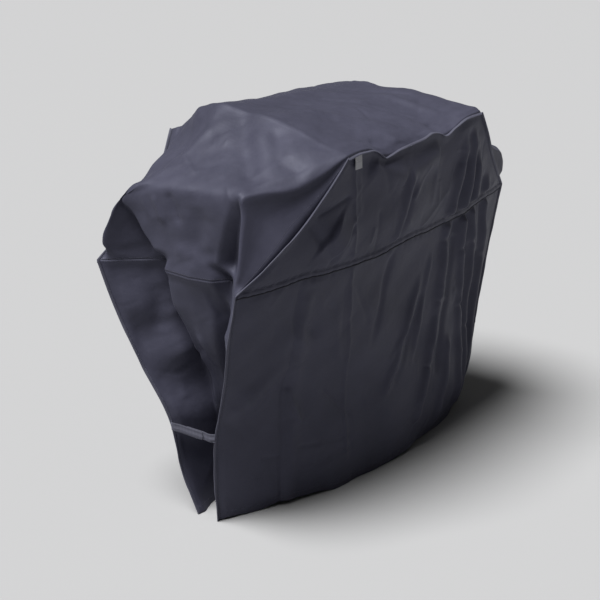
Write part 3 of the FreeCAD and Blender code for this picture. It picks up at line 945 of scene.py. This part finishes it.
def nearest(grid, column, curve):
    """Moves a side of the strip onto its seam, each point by the shortest way."""
    reach = 0.08
    fine = even(curve, 1500)
    edge = grid[:, column].copy()
    gaps = ((edge[:, None] - fine[None]) ** 2).sum(axis=2)
    picks = np.maximum.accumulate(gaps.argmin(axis=1))
    shift = fine[picks] - edge
    share = np.clip(np.linspace(0, 1, grid.shape[1]) / reach, 0, 1)
    fade = (1 - share) ** 2 * (1 + 2 * share)
    if column == -1:
        fade = fade[::-1]
    grid += fade[None, :, None] * shift[:, None]


def add_piece(item, node, body="cover"):
    """Puts a piece that stands for one CAD node under its body, and hides that node."""
    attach(item, body)
    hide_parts(node)
    return item


strip = strip_grid()
add_piece(cloth_object("top_strip_cloth", strip, (0, 0, 1), COVER_CLOTH), "top_strip")
skirts = {face: skirt_grid(face) for face in FACE_SIGN}
yokes = {face: yoke_grid(face) for face in FACE_SIGN}
for face in FACE_SIGN:
    outward = (0, FACE_SIGN[face], 0)
    add_piece(cloth_object(face + "_skirt_cloth", skirts[face], outward, COVER_CLOTH),
              face + "_skirt")
    add_piece(cloth_object(face + "_yoke_cloth", yokes[face], outward, COVER_CLOTH),
              face + "_yoke")
ends = {side: end_skirt_grid(side) for side in SIDE_SIGN}
for side, sign in SIDE_SIGN.items():
    add_piece(cloth_object(side + "_end_skirt_cloth", ends[side], (sign, 0, 0), COVER_CLOTH),
              side + "_end_skirt")

# ---------------------------------------------------------------- bindings, tapes and straps


def seam_binding(name, node, path, outward, across, width=0.009, thickness=0.0034):
    """Tape folded over a seam's edges, standing out from the seam with a slight wander."""
    path = even(path, int(run_lengths(path)[-1] / 0.006))
    count = len(path)
    outward = even_directions(outward, count)
    across = unit(even_directions(across, count))
    lengths = run_lengths(path)
    random = np.random.default_rng(len(name))
    wander = sum(np.sin(lengths * math.tau / size + random.uniform(0, 6)) * size
                 for size in (0.35, 0.16, 0.07))
    lean = unit(outward + across * (0.9 * wander)[:, None])
    upward = unit(np.cross(np.gradient(path, axis=0), lean))
    item = sweep(name, path - lean * 0.0015, lean, upward, rounded(width, thickness), BINDING)
    add_piece(item, node)


def painted_lap_shadow(face):
    """A narrow near-black strip under the yoke's lower edge over the skirt: painted shadow that
    stands in for the shade beneath the lap.
    """
    grid = yokes[face]
    outward = grid_normals(grid, (0, FACE_SIGN[face], 0))[-1]
    downward = unit(grid[-1] - grid[-3])
    path = grid[-1] - outward * 0.0014 + downward * 0.0010
    item = sweep(face + "_waist_painted_shadow", path, downward, outward, rounded(0.0042, 0.0020), WAIST_SHADOW_PAINT)
    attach(item, "cover")


def even_directions(directions, count):
    directions = np.atleast_2d(np.asarray(directions, float))
    if len(directions) == 1:
        return np.repeat(directions, count, axis=0)
    places = np.linspace(0, 1, count)
    knots = np.linspace(0, 1, len(directions))
    return np.stack([np.interp(places, knots, directions[:, axis]) for axis in range(3)], axis=1)


for face, face_sign in FACE_SIGN.items():
    for side, side_sign in SIDE_SIGN.items():
        path = np.concatenate([diagonal(face, side), upright(face, side)[1:]])
        directions = unit(np.array([
            (0.45 * side_sign, 0.9 * face_sign, 0.35), (0.5 * side_sign, 0.8 * face_sign, 0.4),
            (0.9 * side_sign, 0.5 * face_sign, 0.1), (1.0 * side_sign, 0.15 * face_sign, 0),
            (1.0 * side_sign, 0.1 * face_sign, 0), (1.0 * side_sign, 0.1 * face_sign, 0)]))
        name = "%s_%s_seam_binding" % (face, side)
        seam_binding(name + "_tape", name, path, directions, (0, face_sign, 0))
    name = face + "_hood_seam_binding"
    seam_binding(name + "_tape", name, lip_edge(face), unit(np.array([(0, face_sign, -0.45)])),
                 (0, 0, 1), width=0.008, thickness=0.0026)


def inner_tape(node, grid, outward, edge):
    """The sealing tape inside a seam: a band that follows the cloth just inside it."""
    rows = int(0.020 / CELL) + 1
    part = grid[:rows] if edge == "top" else grid[-rows:]
    part = part[:, 2:-2]
    normals = grid_normals(part, outward)
    item = cloth_object(node + "_film", part - normals * (CLOTH + 0.0012), outward, TAPE, 0.0006)
    add_piece(item, node)


for face, sign in FACE_SIGN.items():
    inner_tape(face + "_waist_tape", yokes[face], (0, sign, 0), "bottom")
    painted_lap_shadow(face)
inner_tape("left_waist_tape", strip, (-1, 0, 0), "top")
inner_tape("right_waist_tape", strip, (1, 0, 0), "bottom")


def ribbon(name, path, width, thickness, material, round_end=0.0):
    """Flat webbing on edge: width upright, following a path, its far end's corners rounded."""
    path = smooth_curve(path, 40)
    tangent = unit(np.gradient(path, axis=0))
    upward = np.tile([0.0, 0.0, 1.0], (len(path), 1))
    sideways = unit(np.cross(tangent, upward))
    lengths = run_lengths(path)
    left = lengths[-1] - lengths
    narrow = np.where(left < round_end, round_end - np.sqrt(
        np.maximum(round_end**2 - (round_end - left) ** 2, 0)), 0)
    half = width / 2 - narrow
    profile = rounded(1.0, 1.0, points=4)
    rings = []
    for a, b in profile:
        rings.append(path + upward * ((a - 0.5) * 2 * half)[:, None]
                     + sideways * (b * thickness))
    count = len(profile)
    vertices = np.stack(rings, axis=1).reshape(-1, 3)
    across = np.tile([(a - 0.5) * width for a, _ in profile], len(path))
    uvs = np.stack([across, np.repeat(lengths, count)], axis=1)
    item = mesh_object(name, vertices, tube_faces(len(path), count), uvs)
    item.data.materials.append(material)
    fix_outside(item)
    return item


def strap_path(node, root_out, flip):
    """A strap's middle line from its sewn end, from the CAD strap's box."""
    low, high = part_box(node)
    middle = [(a + b) / 2 for a, b in zip(low, high)]
    start, end = (high[1], low[1]) if flip else (low[1], high[1])
    sign = math.copysign(1, middle[0])
    toward = math.copysign(1, end - start)
    points = [(sign * root_out, start - toward * 0.004, middle[2])]
    for share, bulge, drop in ((0.06, 0.0, 0.0), (0.35, 0.0012, 0.0015), (0.7, 0.0012, 0.001),
                               (1.0, 0.0, 0.0)):
        points.append((middle[0] + sign * bulge, start + (end - start) * share,
                       middle[2] + drop))
    return points


for side in SIDE_SIGN:
    hook_low, hook_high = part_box(side + "_hook_strap")
    width = hook_high[2] - hook_low[2]
    for kind, flip, material in (("hook", True, HOOKS), ("loop", False, LOOPS)):
        node = "%s_%s_strap" % (side, kind)
        item = ribbon(node + "_webbing", strap_path(node, 0.604, flip), width, 0.0015, WEBBING,
                      0.004)
        add_piece(item, node, node)
        strip_node = "%s_%s_strip" % (side, kind)
        low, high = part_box(strip_node)
        out = (low[0] + high[0]) / 2
        path = [(out, y, (low[2] + high[2]) / 2) for y in np.linspace(low[1], high[1], 4)]
        item = ribbon(strip_node + "_pile", path, high[2] - low[2], 0.0009, material, 0.002)
        add_piece(item, strip_node, node)


def tag_piece():
    """A small woven tag with no mark, its cloth waving a little, more toward its free lower end."""
    low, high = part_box("brand_tag")
    rows, columns = 14, 20
    x = np.linspace(low[0], high[0], columns)[None, :]
    z = np.linspace(high[2], low[2], rows)[:, None]
    depth = (low[1] + high[1]) / 2 - 0.0012 * np.sin((x - low[0]) * 90) * (high[2] - z) / 0.02
    grid = np.stack(np.broadcast_arrays(x, depth, z), axis=2)
    item = cloth_object("woven_tag_cloth", grid, (0, -1, 0), TAG, 0.0008)
    add_piece(item, "brand_tag", "brand_tag")


tag_piece()


def tag_root():
    """The tag's fixed upper end, between the lip's seam and its fold."""
    low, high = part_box("brand_tag")
    x = np.linspace(low[0], high[0], 12)[None, :]
    share = np.linspace(0, 1, 8)[:, None]
    lip = lip_edge("front")
    top = np.interp(x, lip[:, 0], lip[:, 2]) - 0.001
    z = top + (high[2] - 0.0004 - top) * share
    depth = (low[1] + high[1]) / 2 + 0.0010 * (1 - share) + 0 * x
    grid = np.stack(np.broadcast_arrays(x + 0 * share, depth, z), axis=2)
    item = cloth_object("woven_tag_root", grid, (0, -1, 0), TAG, 0.0008)
    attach(item, "cover")


tag_root()

# ---------------------------------------------------------------- stitching

STITCH_PITCH = 0.0048
STITCH_LENGTH = 0.0036
STITCH_WIDTH = 0.0011
BEAD = [(-0.5, 0.0, 0.1), (-0.3, 0.5, 0.3), (-0.3, -0.5, 0.3), (0.3, 0.5, 0.3), (0.3, -0.5, 0.3),
        (0.5, 0.0, 0.1), (-0.25, 0.0, 0.9), (0.25, 0.0, 0.9)]
BEAD_FACES = [(0, 2, 6), (0, 6, 1), (1, 6, 7, 3), (6, 2, 4, 7), (3, 7, 5), (7, 4, 5),
              (0, 1, 3, 5, 4, 2)]


def stitch_row(path, normals):
    """Bead positions for one row of stitches on a path over the cloth."""
    lengths = run_lengths(path)
    count = int(lengths[-1] / STITCH_PITCH)
    places = (np.arange(count) + 0.5) * lengths[-1] / count
    middle = np.stack([np.interp(places, lengths, path[:, k]) for k in range(3)], axis=1)
    tangent = np.gradient(path, axis=0)
    tangent = unit(np.stack([np.interp(places, lengths, tangent[:, k]) for k in range(3)], axis=1))
    up = unit(np.stack([np.interp(places, lengths, normals[:, k]) for k in range(3)], axis=1))
    side = np.cross(up, tangent)
    beads = [middle + tangent * (a * STITCH_LENGTH) + side * (b * STITCH_WIDTH)
             + up * (c * 0.0008) for a, b, c in BEAD]
    return np.stack(beads, axis=1).reshape(-1, 3)


def stitching(name, rows, body="cover"):
    """One piece with every bead of several rows."""
    vertices = np.concatenate([stitch_row(path, normals) for path, normals in rows])
    faces = [tuple(base + k for k in face) for base in range(0, len(vertices), len(BEAD))
             for face in BEAD_FACES]
    item = mesh_object(name, vertices, faces, vertices[:, :2] + vertices[:, 2:])
    item.data.materials.append(THREAD)
    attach(item, body)


def grid_row(grid, outward, distance, edge):
    """A path over a grid at a distance from one of its edges, with the normals there."""
    rows = turned(grid, edge)
    normals = turned(grid_normals(grid, outward), edge)
    place = np.clip(distance / CELL, 0, rows.shape[0] - 2)
    first = int(place)
    share = place - first
    path = rows[first] * (1 - share) + rows[first + 1] * share
    return path[1:-1], normals[first][1:-1]


for face, sign in FACE_SIGN.items():
    outward = (0, sign, 0)
    yoke, skirt = yokes[face], skirts[face]
    stitching(face + "_yoke_stitching", [
        grid_row(yoke, outward, 0.012, "bottom")])
    stitching(face + "_skirt_stitching", [
        grid_row(skirt, outward, HEM_TURN - 0.002, "bottom"),
        grid_row(skirt, outward, 0.007, "left"), grid_row(skirt, outward, 0.007, "right")])
for side, sign in SIDE_SIGN.items():
    stitching(side + "_end_skirt_stitching", [
        grid_row(ends[side], (sign, 0, 0), HEM_TURN - 0.002, "bottom"),
        grid_row(ends[side], (sign, 0, 0), 0.004, "top")])
stitching("top_strip_stitching", [
    grid_row(strip, (0, 0, 1), 0.006, "left"), grid_row(strip, (0, 0, 1), 0.006, "right"),
    grid_row(strip, (0, 0, 1), 0.004, "top"), grid_row(strip, (0, 0, 1), 0.004, "bottom")])

# ---------------------------------------------------------------- floor, light and camera


def floor():
    size = 60.0
    item = mesh_object("floor", [(-size, -size, 0), (size, -size, 0), (size, size, 0),
                                 (-size, size, 0)], [(0, 1, 2, 3)])
    nodes = Nodes("pale_floor")
    nodes.shader.inputs["Base Color"].default_value = (0.34, 0.34, 0.343, 1)
    nodes.shader.inputs["Roughness"].default_value = 0.9
    item.data.materials.append(nodes.material)


def area_light(name, place, target, size, power):
    data = bpy.data.lights.new(name, "AREA")
    data.shape = "DISK"
    data.size = size
    data.energy = power
    item = bpy.data.objects.new(name, data)
    item.location = place
    aim = Vector(target) - Vector(place)
    item.rotation_euler = aim.to_track_quat("-Z", "Y").to_euler()
    bpy.context.scene.collection.objects.link(item)


def sun_light(place, power, spread):
    """Broad even light from one side, as from a large window."""
    data = bpy.data.lights.new("sun", "SUN")
    data.energy = power
    data.angle = math.radians(spread)
    item = bpy.data.objects.new("sun", data)
    item.rotation_euler = (-Vector(place)).to_track_quat("-Z", "Y").to_euler()
    bpy.context.scene.collection.objects.link(item)


CAMERA_PLACE = (-3.393, -2.471, 2.014)  # both from the camera fit
CAMERA_TARGET = (0.168, 0.232, 0.382)


def camera():
    data = bpy.data.cameras.new("camera")
    data.lens = 90
    data.sensor_width = 36
    data.clip_end = 200
    item = bpy.data.objects.new("camera", data)
    item.location = CAMERA_PLACE
    aim = Vector(CAMERA_TARGET) - Vector(CAMERA_PLACE)
    item.rotation_euler = aim.to_track_quat("-Z", "Y").to_euler()
    bpy.context.scene.collection.objects.link(item)
    bpy.context.scene.camera = item


floor()
sun_light(place=(-1.12, 0.42, 3.0), power=6.2, spread=28)
area_light("fill", place=(3.4, -4.2, 2.0), target=(0, -0.2, 0.5), size=1.0, power=5)
world = bpy.data.worlds.new("studio")
world.use_nodes = True
background = world.node_tree.nodes["Background"]
background.inputs["Color"].default_value = (1, 1, 1, 1)
background.inputs["Strength"].default_value = 0.06
bpy.context.scene.world = world
bpy.context.scene.view_settings.view_transform = "Standard"
camera()
